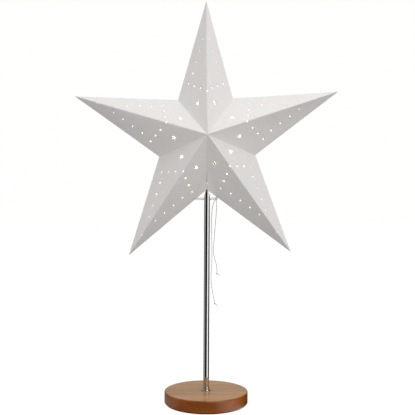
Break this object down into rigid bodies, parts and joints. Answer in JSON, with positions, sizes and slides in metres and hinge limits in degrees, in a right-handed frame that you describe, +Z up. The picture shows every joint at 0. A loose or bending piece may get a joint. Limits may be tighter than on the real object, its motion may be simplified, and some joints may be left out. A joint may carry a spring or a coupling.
{
  "type": "star table lamp",
  "caption": "Table lamp: a pointed star shade of punched folded card that swivels round a bulb on a slim upright pole with a round wooden foot, its seam tied with cord.",
  "frame": {"origin": "centre of the base's underside, on the table", "axes": "+Z up along the pole, -Y the front that the star faces, +X to the right seen from the front"},
  "size_m": [0.4537, 0.1428, 0.6911],
  "materials": {
    "varnished_wood": "clear varnish",
    "black_felt": "pressed felt",
    "plated_steel": "zinc plated",
    "chrome": "polished chrome plate",
    "black_plastic": "moulded",
    "white_plastic": "moulded",
    "brown_lead": "extruded insulation",
    "blue_lead": "extruded insulation",
    "brass": "bare",
    "porcelain": "glazed",
    "clear_glass": "clear blown",
    "stem_glass": "clear pressed",
    "tungsten": "glowing filament",
    "nickel_wire": "drawn wire",
    "white_card": "uncoated folded card",
    "white_cord": "twisted cotton"
  },
  "bodies": {
    "stand": {"wooden_base": "varnished_wood", "base_pad": "black_felt", "base_ballast": "plated_steel", "ballast_screws": "plated_steel", "cord_bush": "black_plastic", "cord_clamp": "black_plastic", "clamp_screws": "plated_steel", "terminal_block": "white_plastic", "terminal_screws": "brass", "pole": "chrome", "pole_collar": "chrome", "pole_washer": "plated_steel", "pole_nut": "plated_steel", "lead_live": "brown_lead", "lead_neutral": "blue_lead", "holder_cap": "black_plastic", "holder_grub_screw": "plated_steel", "holder_core": "porcelain", "holder_terminals": "brass", "centre_contact": "brass", "screw_shell": "brass", "holder_sleeve": "black_plastic", "lower_shade_ring": "black_plastic", "upper_shade_ring": "black_plastic"},
    "bulb_carrier": {"bulb_tip": "plated_steel"},
    "bulb": {"bulb_insulator": "black_plastic", "bulb_cap": "brass", "bulb_glass": "clear_glass", "bulb_stem": "stem_glass", "filament_supports": "nickel_wire", "filament": "tungsten"},
    "star": {"support_ring": "plated_steel", "support_wire": "plated_steel", "star_arm_top": "white_card", "star_arm_upper_right": "white_card", "star_arm_lower_right": "white_card", "star_arm_lower_left": "white_card", "star_arm_upper_left": "white_card", "tie_loop": "white_cord", "tie_knot": "white_cord", "tie_end_long": "white_cord", "end_knot_long": "white_cord", "tie_end_short": "white_cord", "end_knot_short": "white_cord"}
  },
  "joints": [
    {"name": "star_swivel", "type": "hinge", "parent": "stand", "child": "star", "pos_m": [0, 0, 0.408], "axis": [0, 0, 1], "continuous": true},
    {"name": "bulb_rise", "type": "slide", "parent": "stand", "child": "bulb_carrier", "axis": [0, 0, 1], "range_m": [0, 0.01128]},
    {"name": "bulb_turn", "type": "hinge", "parent": "bulb_carrier", "child": "bulb", "pos_m": [0, 0, 0.4], "axis": [0, 0, 1], "range_deg": [0, 1440]}
  ],
  "couplings": [
    {"joint": "bulb_turn", "follows": "bulb_rise", "rad_per_m": 2228.1}
  ]
}
